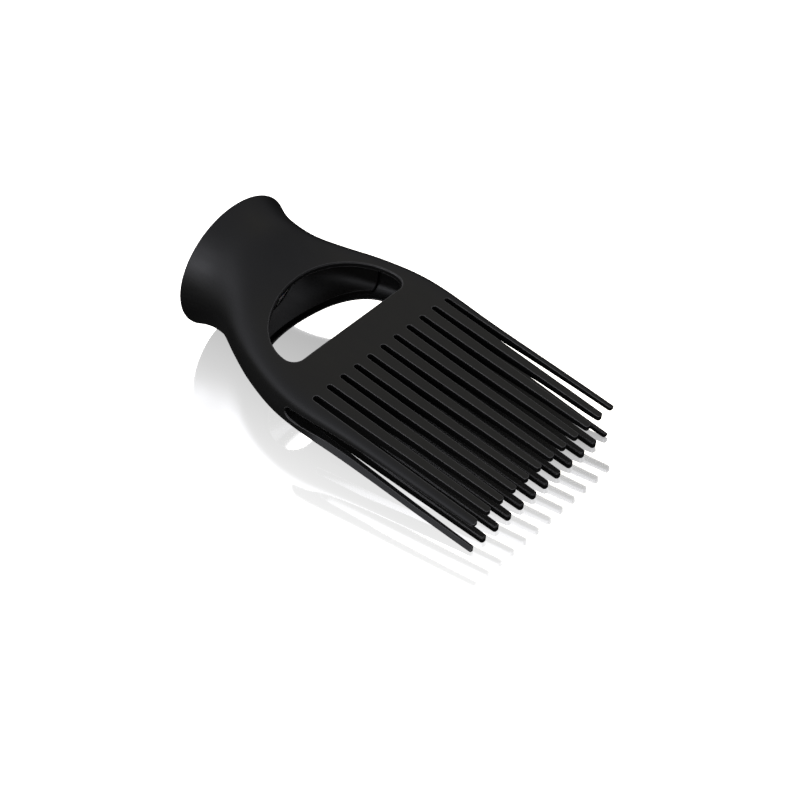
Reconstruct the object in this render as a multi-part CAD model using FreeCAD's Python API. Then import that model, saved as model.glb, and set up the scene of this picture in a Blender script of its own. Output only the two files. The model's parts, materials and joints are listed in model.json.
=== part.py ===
"""Hair-dryer comb nozzle: a round socket, a waisted neck and a wide flat body with two rows of teeth.

Modelling frame (millimetres): the nozzle's own axis is X, from the socket's rim at x = 0 towards the
tooth tips, Y runs across the teeth and Z is the normal of the flat plates. The finished pieces are
moved so that the origin is the centre of the barrel bore at its open end, and tilted so that the
nozzle lies as it rests on a table: on the bottom of its rim and on the tips of its lower teeth.
"""
import FreeCAD, Part
import math
import os

Vector = FreeCAD.Vector

# ---- Driving dimensions ----
TOOTH_COUNT = 12            # teeth in each row
TIP_PITCH = 7.0             # from tooth to tooth at the tips
ROOT_PITCH = 7.22           # from slot to slot at the roots: the teeth converge a little
LENGTH = 156.0              # rim to tooth tips
ROOT_X = 77.0               # closed ends of the slots between the teeth
SLOT_ROOT_RADIUS = 1.25
TIP_HALF_WIDTH = 1.3        # a tooth's half width at its tip
TIP_CORNER = 1.0            # rounding of a tip's corners seen from above
TIP_BOTTOM = 6.0            # height of a row's underside above the middle plane at the tips
TIP_TOP = 8.6               # height of a row's outer side above the middle plane at the tips
EDGE_BREAK = 0.35           # bevel along the rows' undersides and the upper window's edge

WALL = 2.2                  # wall of the two shells
GAP_HALF_HEIGHT = 2.6       # half height of the air gap between the rows where it begins
GAP_START = 69.0            # the gap's rounded end in the side of the body
GAP_MIDDLE_X = 113.0        # the rows' undersides follow an arc through this place
GAP_MIDDLE_HEIGHT = 5.0
FLANK_LEAN = 1.8            # the outermost lower teeth's outer faces lean in by this much
FLANK_HEIGHT = 2.4          # over this height below the row's inner side
FLANK_RUN_IN = 20.0         # length along X over which the lean grows from nothing
FLANK_STATIONS = [71.0, 77.0, 84.0, 91.0, 113.0, 135.0, 160.0]

WINDOW_FRONT = 62.3         # straight front edge of the window
WINDOW_CENTRE = 57.0        # centre of the half ellipse at its rear
WINDOW_DEPTH = 22.6         # the half ellipse's reach along X
WINDOW_HALF_WIDTH = 31.0
WINDOW_CORNER = 5.0
LOWER_WINDOW_MARGIN = 1.6   # the lower shell's window is larger all round
LOWER_WINDOW_BEVEL = 1.8    # and opens outwards through most of the wall

BORE_RADIUS = 21.9          # bore that grips the dryer's barrel
COLLAR_OUTER = 23.54        # turning collar's outer radius
COLLAR_START = 4.4
COLLAR_END = 15.4
STOP_START = 13.9           # inner lip that the barrel's end meets
STOP_RADIUS = 20.3
SOCKET_RADIUS = 23.6        # the shells' bore around the collar: 0.06 mm of running clearance
SOCKET_END = 16.2
SEAT_END = 17.6             # shoulder that carries the collar's washer
SEAT_RADIUS = 21.4

# Outer form: x, half width, half height and the exponent of the superellipse section, which goes
# from a circle (2) at the socket to a flat slab with rounded sides (6 to 12) at the teeth.
OUTER_STATIONS = [
    (0.0, 28.9, 28.9, 2.0),
    (4.0, 27.1, 27.1, 2.0),
    (8.0, 25.9, 25.9, 2.0),
    (12.0, 25.4, 25.2, 2.0),
    (16.0, 25.6, 24.2, 2.02),
    (22.0, 27.4, 21.0, 2.15),
    (28.0, 30.3, 17.4, 2.5),
    (35.0, 33.5, 14.3, 3.1),
    (42.0, 36.3, 12.6, 3.8),
    (50.0, 38.9, 11.4, 4.5),
    (61.0, 41.5, 10.5, 5.2),
    (75.0, 42.5, 9.65, 5.8),
    (90.0, 41.7, 9.3, 6.8),
    (120.0, 40.8, 8.95, 9.0),
    (LENGTH, 40.1, TIP_TOP, 12.0),
]
SECTION_SPACING = 3.0       # between the sections that the smooth form is drawn through
RIM_RADIUS = 28.9
LIP_RADIUS = 1.4            # rounding of the rim's outer edge

# Half height of the air space where it closes from the duct to the gap between the tooth rows.
CLOSING_START = 56.0
CLOSING_END = 71.0

SLEEVE_WALL = 1.6           # liner of the neck
SLEEVE_CLEARANCE = 0.12
SLEEVE_END = 45.5
SLEEVE_SETBACK = 3.8        # the sleeve is cut back this far round the window

QUADRANT_POINTS = 12        # points that each quarter of a section is drawn through
BEND_WEIGHT = 3.0           # length that counts the same as one radian of bend when points are spread
FAR = 200.0                 # larger than the part, for cutting tools


# ---- Helpers ----
def superellipse_point(half_width, half_height, exponent, angle):
    """Point (y, z) of a superellipse at the given parameter angle."""
    across = math.cos(angle)
    up = math.sin(angle)
    y = half_width * math.copysign(abs(across) ** (2.0 / exponent), across)
    z = half_height * math.copysign(abs(up) ** (2.0 / exponent), up)
    return y, z


def quadrant_points(half_width, half_height, exponent):
    """Points along a quarter of a superellipse, from side to top, closer together where it bends."""
    steps = 400
    dense = []
    for step in range(steps + 1):
        dense.append(superellipse_point(half_width, half_height, exponent, 0.5 * math.pi * step / steps))
    travelled = [0.0]
    heading = 0.5 * math.pi
    for before, after in zip(dense, dense[1:]):
        next_heading = math.atan2(after[1] - before[1], after[0] - before[0])
        bend = abs(next_heading - heading)
        heading = next_heading
        travelled.append(travelled[-1] + math.dist(before, after) + BEND_WEIGHT * bend)
    points = []
    index = 0
    for number in range(QUADRANT_POINTS):
        target = travelled[-1] * number / QUADRANT_POINTS
        while travelled[index + 1] < target:
            index += 1
        share = (target - travelled[index]) / (travelled[index + 1] - travelled[index])
        start, end = dense[index], dense[index + 1]
        points.append((start[0] + share * (end[0] - start[0]), start[1] + share * (end[1] - start[1])))
    return points


def section_wire(x, half_width, half_height, exponent):
    """Closed smooth section across the nozzle."""
    quarter = quadrant_points(half_width, half_height, exponent)
    top = (0.0, half_height)
    side = (half_width, 0.0)
    right_up = quarter
    left_up = [top] + [(-y, z) for y, z in reversed(quarter[1:])]
    left_down = [(-side[0], 0.0)] + [(-y, -z) for y, z in quarter[1:]]
    right_down = [(0.0, -half_height)] + [(y, -z) for y, z in reversed(quarter[1:])]
    outline = right_up + left_up + left_down + right_down
    curve = Part.BSplineCurve()
    parameters = [float(number) for number in range(len(outline) + 1)]
    curve.interpolate(Points=[Vector(x, y, z) for y, z in outline], PeriodicFlag=True, Parameters=parameters)
    return Part.Wire([curve.toShape()])


def outer_section(x):
    """Half width, half height and exponent of the outer form at x, on a smooth curve through the table."""
    curve = Part.BSplineCurve()
    curve.interpolate(
        Points=[Vector(*station[1:]) for station in OUTER_STATIONS],
        Parameters=[station[0] for station in OUTER_STATIONS])
    return tuple(curve.value(x))


def closing_height(x, half_height):
    """Duct height at x, brought down evenly to the gap's height where the body closes."""
    share = min(max((x - CLOSING_START) / (CLOSING_END - CLOSING_START), 0.0), 1.0)
    blend = share * share * (3.0 - 2.0 * share)
    return half_height + blend * (GAP_HALF_HEIGHT - half_height)


def form(inset, start, end, closing=False):
    """Smooth solid from start to end that follows the outer form, moved inwards by inset."""
    intervals = max(2, round((end - start) / SECTION_SPACING))
    wires = []
    for number in range(intervals + 1):
        x = start + (end - start) * number / intervals
        width, height, exponent = outer_section(x)
        half_height = height - inset
        if closing:
            half_height = closing_height(x, half_height)
        wires.append(section_wire(x, width - inset, half_height, exponent))
    return Part.makeLoft(wires, True, False)


def box(x_range, y_range, z_range):
    """Axis-aligned box between the given limits."""
    size = [high - low for low, high in (x_range, y_range, z_range)]
    return Part.makeBox(*size, Vector(x_range[0], y_range[0], z_range[0]))


def revolved(profile):
    """Solid of revolution about the nozzle's axis from (x, radius) corners."""
    corners = [Vector(x, 0, radius) for x, radius in profile]
    face = Part.Face(Part.makePolygon(corners + [corners[0]]))
    return face.revolve(Vector(0, 0, 0), Vector(1, 0, 0), 360)


def ring(x_start, x_end, inner, outer):
    """Plain ring about the nozzle's axis."""
    return revolved([(x_start, inner), (x_end, inner), (x_end, outer), (x_start, outer)])


def arc(start, middle, end):
    """Circular arc through three points."""
    return Part.Arc(start, middle, end).toShape()


def line(start, end):
    """Straight edge."""
    return Part.makeLine(start, end)


def prism(edges, direction):
    """Solid swept from a closed outline along a direction."""
    return Part.Face(Part.Wire(edges)).extrude(direction)


def vertical_prism(edges):
    """Endless vertical prism over a closed outline, whose edges may be in any order."""
    solid = Part.Face(Part.Wire(Part.__sortEdges__(edges))).extrude(Vector(0, 0, 2 * FAR))
    solid.translate(Vector(0, 0, -FAR))
    return solid


# ---- Cutting tools ----
def window_tool(margin):
    """D-shaped vertical prism: straight front edge, rounded corners and a half-elliptical rear."""
    half = WINDOW_HALF_WIDTH + margin
    front = WINDOW_FRONT + margin
    depth = WINDOW_DEPTH + margin
    corner = WINDOW_CORNER
    bend = corner * (1.0 - math.sqrt(0.5))
    ellipse = Part.Ellipse(
        Vector(WINDOW_CENTRE, half, 0), Vector(WINDOW_CENTRE - depth, 0, 0), Vector(WINDOW_CENTRE, 0, 0))
    rear = Part.Arc(ellipse, 0.0, math.pi).toShape()
    if rear.CenterOfMass.x > WINDOW_CENTRE:
        rear = Part.Arc(ellipse, math.pi, 2.0 * math.pi).toShape()
    sides = []
    for sign in (1.0, -1.0):
        sides.append(line(Vector(WINDOW_CENTRE, sign * half, 0), Vector(front - corner, sign * half, 0)))
        sides.append(arc(
            Vector(front - corner, sign * half, 0),
            Vector(front - bend, sign * (half - bend), 0),
            Vector(front, sign * (half - corner), 0)))
    sides.append(line(Vector(front, half - corner, 0), Vector(front, corner - half, 0)))
    return vertical_prism([rear] + sides)


def tooth_line(position, x):
    """Y of a line that runs along the teeth, at a position counted in pitches from the middle."""
    share = (x - ROOT_X) / (LENGTH - ROOT_X)
    return position * (ROOT_PITCH + share * (TIP_PITCH - ROOT_PITCH))


def tip_corner(position, side):
    """One rounded corner of a tooth's tip seen from above: where its flank ends, its arc and its nose.

    The tooth's middle is at a position counted in pitches, and the corner is on the given side of it.
    """
    flank = Vector(LENGTH - TIP_CORNER, tooth_line(position, LENGTH) + side * TIP_HALF_WIDTH, 0)
    nose = flank + Vector(TIP_CORNER, -side * TIP_CORNER, 0)
    bend = TIP_CORNER * (1.0 - math.sqrt(0.5))
    return flank, arc(flank, Vector(LENGTH - bend, flank.y - side * bend, 0), nose), nose


def slot_tool(position):
    """Vertical prism between two neighbouring teeth, with the corners of their tips."""
    root_centre = Vector(ROOT_X + SLOT_ROOT_RADIUS, tooth_line(position, ROOT_X), 0)
    half = Vector(0, SLOT_ROOT_RADIUS, 0)
    edges = [arc(root_centre - half, root_centre - Vector(SLOT_ROOT_RADIUS, 0, 0), root_centre + half)]
    ends = []
    for side in (1.0, -1.0):
        flank, corner, nose = tip_corner(position + 0.5 * side, -side)
        end = Vector(LENGTH + 10.0, nose.y, 0)
        edges += [line(root_centre + side * half, flank), corner, line(nose, end)]
        ends.append(end)
    edges.append(line(ends[0], ends[1]))
    return vertical_prism(edges)


def outer_tip_tool(side):
    """Vertical prism that rounds the outer corner of an outermost tooth's tip."""
    flank, corner, nose = tip_corner(side * 0.5 * (TOOTH_COUNT - 1), side)
    end = Vector(LENGTH + 10.0, nose.y, 0)
    far_end = Vector(end.x, side * FAR, 0)
    far_start = Vector(flank.x, side * FAR, 0)
    return vertical_prism([corner, line(nose, end), line(end, far_end), line(far_end, far_start),
                           line(far_start, flank)])


def gap_line(x):
    """Height of the upper row's underside at x, on a shallow arc from the gap's start to the tips."""
    start = Vector(GAP_START + GAP_HALF_HEIGHT, 0, GAP_HALF_HEIGHT)
    middle = Vector(GAP_MIDDLE_X, 0, GAP_MIDDLE_HEIGHT)
    circle = arc(start, middle, Vector(LENGTH, 0, TIP_BOTTOM)).Curve
    return circle.Center.z + math.sqrt(circle.Radius ** 2 - (x - circle.Center.x) ** 2)


def gap_tool():
    """Air gap under the upper row of teeth, with its rounded rear end seen from the side."""
    bend = GAP_HALF_HEIGHT * math.sqrt(0.5)
    bottom = Vector(GAP_START, 0, 0)
    top = Vector(GAP_START + GAP_HALF_HEIGHT, 0, GAP_HALF_HEIGHT)
    end = Vector(LENGTH + 10.0, 0, gap_line(LENGTH + 10.0))
    floor = Vector(end.x, 0, 0)
    edges = [
        arc(bottom, Vector(top.x - bend, 0, bend), top),
        arc(top, Vector(GAP_MIDDLE_X, 0, GAP_MIDDLE_HEIGHT), end),
        line(end, floor),
        line(floor, bottom),
    ]
    solid = prism(edges, Vector(0, 2 * FAR, 0))
    solid.translate(Vector(0, -FAR, 0))
    return solid


def flank_tool(side):
    """Long wedge that leans the outer face of an outermost lower tooth in towards its top."""
    sections = []
    for x in FLANK_STATIONS:
        outside = outer_section(min(x, LENGTH))[0] + 0.05
        top = -gap_line(max(x, GAP_START + GAP_HALF_HEIGHT))
        grown = min((x - FLANK_STATIONS[0]) / FLANK_RUN_IN, 1.0)
        lean = FLANK_LEAN * grown * grown * (3.0 - 2.0 * grown)
        slope = lean / FLANK_HEIGHT
        corners = [
            Vector(x, side * (outside - lean - slope), top + 1.0),
            Vector(x, side * (outside + 0.5 * slope), top - FLANK_HEIGHT - 0.5),
            Vector(x, side * (outside + 6.0), top + 1.0),
        ]
        sections.append(Part.makePolygon(corners + [corners[0]]))
    return Part.makeLoft(sections, True, False)


def lip_tool():
    """Ring that rounds the rim's outer edge."""
    inner = RIM_RADIUS - LIP_RADIUS
    bend = LIP_RADIUS * math.sqrt(0.5)
    outside = RIM_RADIUS + 5.0
    edges = [
        arc(Vector(0, 0, inner),
            Vector(LIP_RADIUS - bend, 0, inner + bend),
            Vector(LIP_RADIUS, 0, RIM_RADIUS)),
        line(Vector(LIP_RADIUS, 0, RIM_RADIUS), Vector(LIP_RADIUS, 0, outside)),
        line(Vector(LIP_RADIUS, 0, outside), Vector(-1.0, 0, outside)),
        line(Vector(-1.0, 0, outside), Vector(-1.0, 0, inner)),
        line(Vector(-1.0, 0, inner), Vector(0, 0, inner)),
    ]
    return Part.Face(Part.Wire(edges)).revolve(Vector(0, 0, 0), Vector(1, 0, 0), 360)


# ---- Pieces ----
SNAP_GROOVE = (2.8, 4.2, 24.7)      # from x, to x, radius
SNAP_RING = (2.85, 4.15, 22.7, 24.6)
GRIP_GROOVE = (9.6, 12.0, 22.8)
GRIP_RING = (9.65, 11.95, 21.95, 22.75)
WASHER = (15.45, 16.15, 20.4, 23.5)


def socket_hollow():
    """Stepped round hollow of the socket: lead-in, snap-ring groove, collar bore and seat."""
    groove_start, groove_end, groove_radius = SNAP_GROOVE
    return revolved([
        (-5.0, 0.0), (-5.0, 27.0), (0.0, 27.0), (2.3, 24.0), (groove_start, 24.0),
        (groove_start, groove_radius), (groove_end, groove_radius), (groove_end, SOCKET_RADIUS),
        (SOCKET_END, SOCKET_RADIUS), (SOCKET_END, SEAT_RADIUS), (SEAT_END + 0.5, SEAT_RADIUS),
        (SEAT_END + 0.5, 0.0)])


def tongue(narrow, wide, height):
    """Strip along the middle of both side walls that locates one shell on the other."""
    start, end = 24.0, 64.0
    band = form(narrow, start, end).cut(form(wide, start, end))
    return band.common(box((start, end), (-FAR, FAR), (0, height)))


def underside_edges(half):
    """Edges of the upper half that run along its row's underside."""
    edges = []
    for edge in half.Edges:
        x, y, z = edge.valueAt(0.5 * (edge.FirstParameter + edge.LastParameter))
        if x > ROOT_X - 0.1 and abs(z - gap_line(x)) < 0.01:
            edges.append(edge)
    return edges


def window_edges(half, margin):
    """Edges of the window, larger by the margin, that run along the upper half's outer form."""
    edges = []
    for edge in half.Edges:
        x, y, z = edge.valueAt(0.5 * (edge.FirstParameter + edge.LastParameter))
        half_width, half_height, exponent = outer_section(min(x, LENGTH))
        level = abs(y / half_width) ** exponent + abs(z / half_height) ** exponent
        along_x = WINDOW_CENTRE - WINDOW_DEPTH - margin - 0.1 < x < WINDOW_FRONT + margin + 0.1
        if along_x and abs(y) < WINDOW_HALF_WIDTH + margin + 0.1 and abs(level - 1.0) < 0.1 and z > 2.0:
            edges.append(edge)
    return edges


def with_window(half, margin, bevel):
    """The half with its window cut through, larger by the margin, and bevelled on the outside."""
    opened = half.cut(window_tool(margin))
    return opened.makeChamfer(bevel, window_edges(opened, margin))


def body_shells():
    """Upper and lower shell, each with its row of teeth."""
    outer = form(0.0, 0.0, LENGTH).cut(lip_tool())
    hollow = form(WALL, SEAT_END, CLOSING_END, closing=True).fuse(socket_hollow())
    half = outer.common(box((-FAR, FAR), (-FAR, FAR), (0, FAR))).cut(hollow).cut(gap_tool())
    slots = [slot_tool(0.5 * (2 * number - TOOTH_COUNT)) for number in range(1, TOOTH_COUNT)]
    half = half.cut(slots + [outer_tip_tool(1.0), outer_tip_tool(-1.0)])
    half = half.makeChamfer(EDGE_BREAK, underside_edges(half))
    upper = with_window(half, 0.0, EDGE_BREAK).cut(tongue(0.65, 1.55, 0.85))
    lower = with_window(half, LOWER_WINDOW_MARGIN, LOWER_WINDOW_BEVEL)
    lower = lower.mirror(Vector(0, 0, 0), Vector(0, 0, 1)).fuse(tongue(0.7, 1.5, 0.8))
    lower = lower.cut([flank_tool(1.0), flank_tool(-1.0)])
    return upper, lower


def air_duct_sleeve():
    """Thin liner of the neck, cut back around the window, that guides air into the body."""
    gap = WALL + SLEEVE_CLEARANCE
    start = SEAT_END + SLEEVE_CLEARANCE
    outside = form(gap, start, SLEEVE_END)
    inside = form(gap + SLEEVE_WALL, start, SLEEVE_END)
    return outside.cut(inside).cut(window_tool(SLEEVE_SETBACK))


def barrel_collar():
    """Turning collar with sprung fingers that clips round the dryer's barrel."""
    start, end, radius = GRIP_GROOVE
    body = revolved([
        (COLLAR_START, BORE_RADIUS), (start, BORE_RADIUS), (start, radius), (end, radius),
        (end, BORE_RADIUS), (STOP_START, BORE_RADIUS), (STOP_START, STOP_RADIUS),
        (COLLAR_END, STOP_RADIUS), (COLLAR_END, COLLAR_OUTER), (COLLAR_START, COLLAR_OUTER)])
    slot = box((COLLAR_START - 1.0, 8.4), (-0.8, 0.8), (BORE_RADIUS - 2.0, COLLAR_OUTER + 1.0))
    for number in range(8):
        cutter = slot.copy()
        cutter.rotate(Vector(0, 0, 0), Vector(1, 0, 0), 22.5 + 45.0 * number)
        body = body.cut(cutter)
    return body


def barrel_grip_ring():
    """Silicone ring in the collar's groove that grips the barrel."""
    return ring(GRIP_RING[0], GRIP_RING[1], GRIP_RING[2], GRIP_RING[3])


def collar_snap_ring():
    """Split spring ring in the shells' groove that keeps the collar in, with its opening at the top."""
    whole = ring(SNAP_RING[0], SNAP_RING[1], SNAP_RING[2], SNAP_RING[3])
    opening = box((0.0, 10.0), (-3.0, 3.0), (0.0, 40.0))
    return whole.cut(opening)


def swivel_washer():
    """Low-friction washer between the collar and its seat."""
    return ring(WASHER[0], WASHER[1], WASHER[2], WASHER[3])


# ---- Placing and export ----
def rest_tilt():
    """Angle, in degrees, by which the tips dip when the nozzle lies on its rim and lower tips."""
    run = LENGTH - LIP_RADIUS
    rise = (RIM_RADIUS - LIP_RADIUS) - TIP_TOP
    return math.degrees(math.atan2(rise, run) + math.asin(LIP_RADIUS / math.hypot(run, rise)))


def main():
    """Build each piece, place it and write it to its own file."""
    upper_shell, lower_shell = body_shells()
    pieces = {
        "upper_shell": upper_shell,
        "lower_shell": lower_shell,
        "air_duct_sleeve": air_duct_sleeve(),
        "barrel_collar": barrel_collar(),
        "barrel_grip_ring": barrel_grip_ring(),
        "collar_snap_ring": collar_snap_ring(),
        "swivel_washer": swivel_washer(),
    }
    os.makedirs("parts", exist_ok=True)
    for name, shape in pieces.items():
        shape.translate(Vector(-COLLAR_START, 0, 0))
        shape.rotate(Vector(0, 0, 0), Vector(0, 1, 0), rest_tilt())
        shape.exportStep("parts/" + name + ".step")
        print(name, len(shape.Solids), "solids", round(shape.Volume / 1000.0, 2), "cm3", shape.isValid())


main()
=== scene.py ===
"""Looks of the hair-dryer comb nozzle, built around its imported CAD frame.

Every length is in metres and every place comes from the frame. The nozzle lies on the floor on the bottom
of its rim and on its lower tooth tips, with the teeth pointing along +X.
"""
import json
import math

import bpy
from mathutils import Matrix, Vector


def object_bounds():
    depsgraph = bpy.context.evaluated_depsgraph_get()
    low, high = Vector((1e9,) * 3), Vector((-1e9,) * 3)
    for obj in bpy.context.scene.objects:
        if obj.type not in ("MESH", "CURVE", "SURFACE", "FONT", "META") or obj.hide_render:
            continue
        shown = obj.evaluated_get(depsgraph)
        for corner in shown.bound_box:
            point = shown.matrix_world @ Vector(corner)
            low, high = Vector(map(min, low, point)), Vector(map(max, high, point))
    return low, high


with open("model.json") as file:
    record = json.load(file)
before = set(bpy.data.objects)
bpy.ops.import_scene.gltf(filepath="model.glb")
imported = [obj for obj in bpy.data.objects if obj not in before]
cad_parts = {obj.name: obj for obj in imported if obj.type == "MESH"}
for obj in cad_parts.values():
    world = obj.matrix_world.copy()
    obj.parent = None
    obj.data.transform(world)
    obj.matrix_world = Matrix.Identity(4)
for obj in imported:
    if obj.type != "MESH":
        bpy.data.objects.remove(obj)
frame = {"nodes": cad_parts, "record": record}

CAD_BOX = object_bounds()
MM = 0.001


# ---- Node helpers ----
class Shader:
    """Node tree of a material or world, with short ways to add and join nodes."""

    def __init__(self, owner, output="ShaderNodeOutputMaterial"):
        self.owner = owner
        owner.use_nodes = True
        self.tree = owner.node_tree
        self.tree.nodes.clear()
        self.output = self.tree.nodes.new(output)

    def node(self, kind, inputs=None, **settings):
        """New node with its settings and inputs; an input may be a value or another node's output."""
        made = self.tree.nodes.new(kind)
        for key, value in settings.items():
            setattr(made, key, value)
        for key, value in (inputs or {}).items():
            if isinstance(value, bpy.types.NodeSocket):
                self.tree.links.new(value, made.inputs[key])
            else:
                made.inputs[key].default_value = value
        return made

    def math(self, operation, *values, clamp=False):
        """Result of a math node."""
        made = self.node("ShaderNodeMath", dict(enumerate(values)), operation=operation)
        made.use_clamp = clamp
        return made.outputs[0]

    def dot(self, first, second):
        """Dot product of two vectors."""
        made = self.node("ShaderNodeVectorMath", {0: first, 1: second}, operation="DOT_PRODUCT")
        return made.outputs["Value"]

    def remap(self, value, low, high, new_low, new_high):
        """Value mapped from one range to another and held inside it."""
        inputs = {"Value": value, "From Min": low, "From Max": high, "To Min": new_low, "To Max": new_high}
        return self.node("ShaderNodeMapRange", inputs).outputs["Result"]

    def noise(self, size, detail=3.0, stretch=(1.0, 1.0, 1.0)):
        """Noise in object space whose features are about size metres across."""
        place = self.node("ShaderNodeTexCoord").outputs["Object"]
        scaled = self.node("ShaderNodeMapping", {"Vector": place, "Scale": stretch}).outputs["Vector"]
        inputs = {"Vector": scaled, "Scale": 1.0 / size, "Detail": detail}
        return self.node("ShaderNodeTexNoise", inputs).outputs["Fac"]

    def mix_colour(self, factor, first, second):
        """Blend of two colours."""
        made = self.node("ShaderNodeMix", {0: factor, 6: first, 7: second}, data_type="RGBA")
        return made.outputs[2]

    def mix_vector(self, factor, first, second):
        """Blend of two vectors."""
        mixed = self.node("ShaderNodeMix", {0: factor, 4: first, 5: second}, data_type="VECTOR")
        unit = self.node("ShaderNodeVectorMath", {0: mixed.outputs[1]}, operation="NORMALIZE")
        return unit.outputs["Vector"]

    def finish(self, surface):
        """Joins the surface to the output and returns the material or world."""
        self.tree.links.new(surface, self.output.inputs["Surface"])
        return self.owner


def grey(value, warmth=0.0):
    """Near-neutral linear colour; positive warmth leans to red."""
    return (value * (1.0 + warmth), value, value * (1.0 - warmth), 1.0)


# ---- Materials ----
GRAIN_DEPTH = 0.012 * MM


def off_parting_plane(shader):
    """0 at the plane where the two shells meet, which stays a tight joint, and 1 away from it."""
    place = shader.node("ShaderNodeSeparateXYZ", {0: shader.node("ShaderNodeTexCoord").outputs["Object"]})
    axis = Vector(frame["record"]["mounts"][0]["axis"])
    height = shader.math("MULTIPLY", place.outputs["X"], axis.z)
    height = shader.math("MULTIPLY_ADD", place.outputs["Z"], -axis.x, height)
    return shader.remap(shader.math("ABSOLUTE", height), 0.5 * MM, 1.0 * MM, 0.0, 1.0)


def moulded_plastic(name, colour, worn_and_highlight_colour, roughness, edge=0.45 * MM, specular=0.5):
    """Moulded plastic: fine spark-eroded grain, faint flow marks, softly rounded and polished edges,
    lightened partly as wear and partly as a painted highlight.
    """
    shader = Shader(bpy.data.materials.new(name))
    clouds = shader.noise(18.0 * MM, 4.0)
    flow = shader.noise(5.0 * MM, 3.0, stretch=(0.25, 1.0, 1.0))
    fine = shader.noise(0.28 * MM, 2.0)
    true_normal = shader.node("ShaderNodeNewGeometry").outputs["Normal"]
    softened = shader.node("ShaderNodeBevel", {"Radius": edge}, samples=6).outputs["Normal"]
    rounded = shader.mix_vector(off_parting_plane(shader), true_normal, softened)
    alike = shader.dot(rounded, true_normal)
    edge_share = shader.remap(alike, 0.999, 0.93, 0.0, 1.0)
    patchy = shader.remap(clouds, 0.35, 0.65, 0.0, 1.0)
    base = shader.mix_colour(patchy, colour, tuple(0.82 * part for part in colour[:3]) + (1.0,))
    # Edges lightened towards the second colour: partly wear, partly a painted highlight along the rounded
    # edges.
    worn_and_highlit = shader.mix_colour(shader.math("MULTIPLY", edge_share, 0.8), base, worn_and_highlight_colour)
    dull = shader.math("ADD", shader.remap(flow, 0.3, 0.7, roughness - 0.04, roughness + 0.04),
                       shader.math("MULTIPLY", edge_share, -0.06))
    bump = shader.node("ShaderNodeBump", {
        "Strength": 0.35, "Distance": GRAIN_DEPTH, "Height": fine, "Normal": rounded})
    surface = shader.node("ShaderNodeBsdfPrincipled", {
        "Base Color": worn_and_highlit, "Roughness": dull, "Normal": bump.outputs["Normal"],
        "Specular IOR Level": specular})
    return shader.finish(surface.outputs["BSDF"])


def silicone():
    """Dull, slightly dusty silicone rubber."""
    shader = Shader(bpy.data.materials.new("silicone"))
    dust = shader.remap(shader.noise(1.5 * MM, 5.0), 0.45, 0.7, 0.0, 1.0)
    colour = shader.mix_colour(dust, grey(0.035), grey(0.07))
    bump = shader.node("ShaderNodeBump", {
        "Strength": 0.3, "Distance": 0.02 * MM, "Height": shader.noise(0.4 * MM)})
    surface = shader.node("ShaderNodeBsdfPrincipled", {
        "Base Color": colour, "Roughness": 0.75, "Sheen Weight": 0.25, "Normal": bump.outputs["Normal"]})
    return shader.finish(surface.outputs["BSDF"])


def spring_steel():
    """Blackened spring steel with drawing marks along the ring."""
    shader = Shader(bpy.data.materials.new("spring_steel"))
    marks = shader.noise(0.5 * MM, 4.0, stretch=(6.0, 1.0, 1.0))
    colour = shader.mix_colour(shader.remap(marks, 0.35, 0.7, 0.0, 1.0), grey(0.16), grey(0.42, 0.02))
    rough = shader.remap(marks, 0.3, 0.7, 0.28, 0.45)
    surface = shader.node("ShaderNodeBsdfPrincipled", {
        "Base Color": colour, "Metallic": 1.0, "Roughness": rough})
    return shader.finish(surface.outputs["BSDF"])


def washer_plastic():
    """Natural low-friction plastic with a faint burnish from turning."""
    shader = Shader(bpy.data.materials.new("washer_plastic"))
    burnish = shader.noise(2.0 * MM, 3.0)
    colour = shader.mix_colour(burnish, grey(0.55, 0.05), grey(0.66, 0.04))
    rough = shader.remap(burnish, 0.3, 0.7, 0.25, 0.4)
    surface = shader.node("ShaderNodeBsdfPrincipled", {
        "Base Color": colour, "Roughness": rough, "Subsurface Weight": 0.1, "Subsurface Scale": 0.5 * MM})
    return shader.finish(surface.outputs["BSDF"])


def dress_nodes():
    """Gives every CAD node its material."""
    # Each plastic's second colour lightens its edges: partly wear, partly a painted highlight.
    shell = moulded_plastic("shell_plastic", grey(0.0045, 0.04), grey(0.18, 0.02), 0.40)
    sleeve = moulded_plastic("sleeve_plastic", grey(0.004, 0.22), grey(0.02), 0.5, specular=0.35)
    collar = moulded_plastic("collar_plastic", grey(0.006), grey(0.02), 0.42, edge=0.12 * MM)
    finishes = {
        "upper_shell": shell,
        "lower_shell": shell,
        "air_duct_sleeve": sleeve,
        "barrel_collar": collar,
        "barrel_grip_ring": silicone(),
        "collar_snap_ring": spring_steel(),
        "swivel_washer": washer_plastic()}
    for name, finish in finishes.items():
        node = frame["nodes"][name]
        node.data.materials.clear()
        node.data.materials.append(finish)


# ---- Stage ----
WHITE = (1.0, 1.0, 1.0, 1.0)
WARM_WHITE = (1.07, 1.03, 0.92, 1.0)    # tint of what the top plate mirrors to the camera
COOL_WHITE = (0.97, 0.98, 1.06, 1.0)    # tint of the rest of the studio
FLOOR_Z = CAD_BOX[0][2]
FLOOR_HALF_WIDTH = 3.0
MIRROR_GAIN = 5.0                       # makes the studio's grey white in the floor's mirror image
# The floor's own glow is all that is left where it mirrors the dark object. It is white in front of the
# object and grey behind: display brightness at the origin, change per metre along X and Y, least value.
FADE_ORIGIN, FADE_X, FADE_Y, FADE_LEAST = 0.73, 0.43, -3.04, 0.62
DISPLAY_GAMMA = 2.2
# Glows: azimuth and elevation in degrees, narrowness, strength.
SOFT_BOXES = [(-78.0, 14.0, 12.0, 2.0), (-128.0, 25.0, 6.0, 0.45), (180.0, 20.0, 8.0, 0.15)]
SEEN_IN_PLATE = (120.0, 51.0, 10.0, 1.0)    # where the top plate's mirror image comes from


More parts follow.
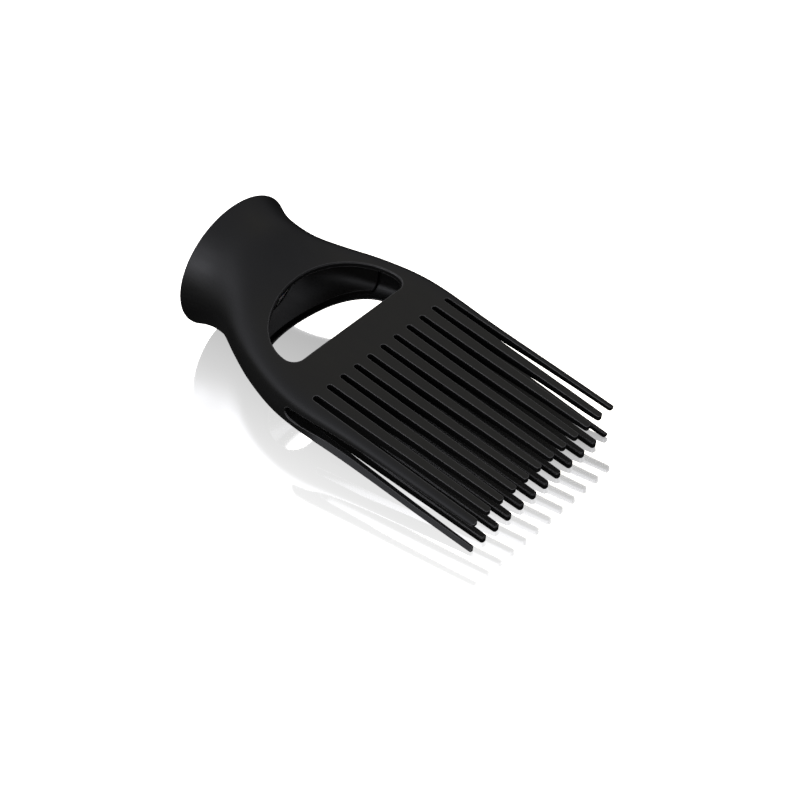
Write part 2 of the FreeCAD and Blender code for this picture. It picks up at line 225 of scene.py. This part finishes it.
def floor_material():
    """Bright floor whose mirror image of the object is pale grey and fades towards the viewer.

    Only the camera sees it white: to the object's own reflections it is a dark table, lighter at the front.
    """
    shader = Shader(bpy.data.materials.new("floor"))
    position = shader.node("ShaderNodeNewGeometry").outputs["Position"]
    place = shader.node("ShaderNodeSeparateXYZ", {0: position})
    fade = shader.math("MULTIPLY_ADD", place.outputs["X"], FADE_X, FADE_ORIGIN)
    fade = shader.math("MULTIPLY_ADD", place.outputs["Y"], FADE_Y, fade)
    held = shader.math("MINIMUM", shader.math("MAXIMUM", fade, FADE_LEAST), 1.0)
    image = shader.math("POWER", held, DISPLAY_GAMMA)
    glow = shader.node("ShaderNodeEmission", {"Color": WHITE, "Strength": image})
    strength = shader.node("ShaderNodeCombineColor", {0: MIRROR_GAIN, 1: MIRROR_GAIN, 2: MIRROR_GAIN})
    mirror = shader.node("ShaderNodeBsdfGlossy", {"Color": strength.outputs[0], "Roughness": 0.06})
    white = shader.node("ShaderNodeAddShader", {0: glow.outputs[0], 1: mirror.outputs[0]})
    near = shader.remap(place.outputs["Y"], -0.04, -0.30, 0.02, 0.42)
    table = shader.node("ShaderNodeEmission", {"Color": WHITE, "Strength": near})
    seen = shader.node("ShaderNodeLightPath").outputs["Is Camera Ray"]
    mixed = shader.node("ShaderNodeMixShader", {0: seen, 1: table.outputs[0], 2: white.outputs[0]})
    return shader.finish(mixed.outputs[0])


def build_floor():
    """Wide plane through the lowest point of the object."""
    half = FLOOR_HALF_WIDTH
    mesh = bpy.data.meshes.new("floor")
    corners = [(-half, -half, 0), (half, -half, 0), (half, half, 0), (-half, half, 0)]
    mesh.from_pydata(corners, [], [(0, 1, 2, 3)])
    floor = bpy.data.objects.new("floor", mesh)
    floor.location = (0.0, 0.0, FLOOR_Z)
    floor.data.materials.append(floor_material())
    bpy.context.scene.collection.objects.link(floor)


def direction(azimuth, elevation):
    """Unit vector towards a place in the studio, in degrees."""
    level = math.cos(math.radians(elevation))
    return (level * math.cos(math.radians(azimuth)), level * math.sin(math.radians(azimuth)),
            math.sin(math.radians(elevation)))


def glow_towards(shader, view, azimuth, elevation, narrowness, strength):
    """Soft round glow of the studio around one direction."""
    alike = shader.dot(view, direction(azimuth, elevation))
    lobe = shader.math("POWER", shader.math("MAXIMUM", alike, 0.0), narrowness)
    return shader.math("MULTIPLY", lobe, strength)


def build_studio():
    """White backdrop for the camera; a grey dome with soft boxes for all that the object reflects."""
    shader = Shader(bpy.data.worlds.new("studio"), "ShaderNodeOutputWorld")
    view = shader.node("ShaderNodeTexCoord").outputs["Generated"]
    up = shader.node("ShaderNodeSeparateXYZ", {0: view}).outputs["Z"]
    total = shader.remap(up, -0.1, 0.7, 0.05, 0.40)
    for azimuth, elevation, narrowness, strength in SOFT_BOXES:
        glow = glow_towards(shader, view, azimuth, elevation, narrowness, strength)
        total = shader.math("ADD", total, glow)
    seen = shader.node("ShaderNodeLightPath").outputs["Is Camera Ray"]
    strength = shader.node("ShaderNodeMix", {0: seen, 2: total, 3: 1.0}, data_type="FLOAT").outputs[0]
    in_plate = glow_towards(shader, view, *SEEN_IN_PLATE)
    tint = shader.mix_colour(in_plate, COOL_WHITE, WARM_WHITE)
    colour = shader.mix_colour(seen, tint, WHITE)
    background = shader.node("ShaderNodeBackground", {"Color": colour, "Strength": strength})
    bpy.context.scene.world = shader.finish(background.outputs[0])


def build_camera():
    """Camera at the photograph's angle: high, from the front right, with a long lens."""
    place = Vector((0.4745, -0.4215, 0.5007))
    forward = Vector((-0.50469, 0.54160, -0.67228)).normalized()
    right = Vector((0.74674, 0.66464, -0.02515))
    up = right.cross(forward).normalized()
    right = forward.cross(up)
    data = bpy.data.cameras.new("camera")
    data.sensor_width = 36.0
    data.lens = 93.77
    data.clip_start = 0.01
    camera = bpy.data.objects.new("camera", data)
    camera.matrix_world = Matrix.Translation(place) @ Matrix((right, up, -forward)).transposed().to_4x4()
    bpy.context.scene.collection.objects.link(camera)
    bpy.context.scene.camera = camera


dress_nodes()
build_floor()
build_studio()
build_camera()
bpy.context.scene.view_settings.view_transform = "Standard"
